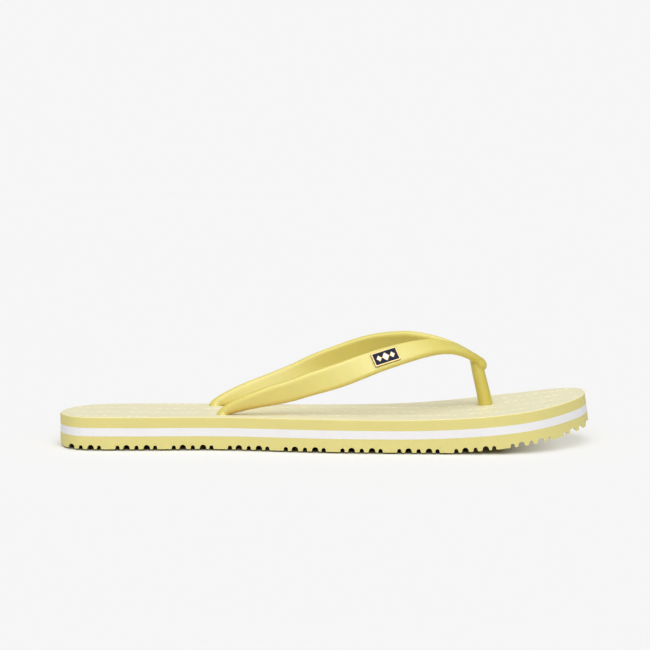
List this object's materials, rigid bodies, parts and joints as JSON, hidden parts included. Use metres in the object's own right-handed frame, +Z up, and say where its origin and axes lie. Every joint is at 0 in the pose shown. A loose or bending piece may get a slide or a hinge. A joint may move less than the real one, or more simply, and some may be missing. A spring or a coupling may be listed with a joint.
{
  "type": "flip flop",
  "caption": "Right-foot flip flop: laminated foam sole with a grooved tread, a moulded Y strap with a toe post, and a small enamel badge.",
  "frame": {"origin": "on the ground under the middle of the sole's length and width", "axes": "+X from heel to toe, +Y towards the inner side of the foot, +Z up"},
  "size_m": [0.2536, 0.086, 0.0522],
  "materials": {
    "footbed_foam": "matte closed-cell foam",
    "midsole_foam": "matte closed-cell foam",
    "outsole_foam": "matte moulded foam rubber",
    "strap_rubber": "satin moulded rubber",
    "washer_plastic": "plain",
    "badge_metal": "polished, gold coloured",
    "badge_enamel": "hard enamel",
    "badge_inlay": "hard enamel",
    "retainer_metal": "plain"
  },
  "bodies": {
    "root": {"footbed": "footbed_foam", "midsole": "midsole_foam", "outsole": "outsole_foam", "strap": "strap_rubber", "toe_washer": "washer_plastic", "lateral_washer": "washer_plastic", "medial_washer": "washer_plastic", "badge_plate": "badge_metal", "badge_enamel": "badge_enamel", "badge_inlays": "badge_inlay", "badge_retainers": "retainer_metal"}
  },
  "joints": []
}
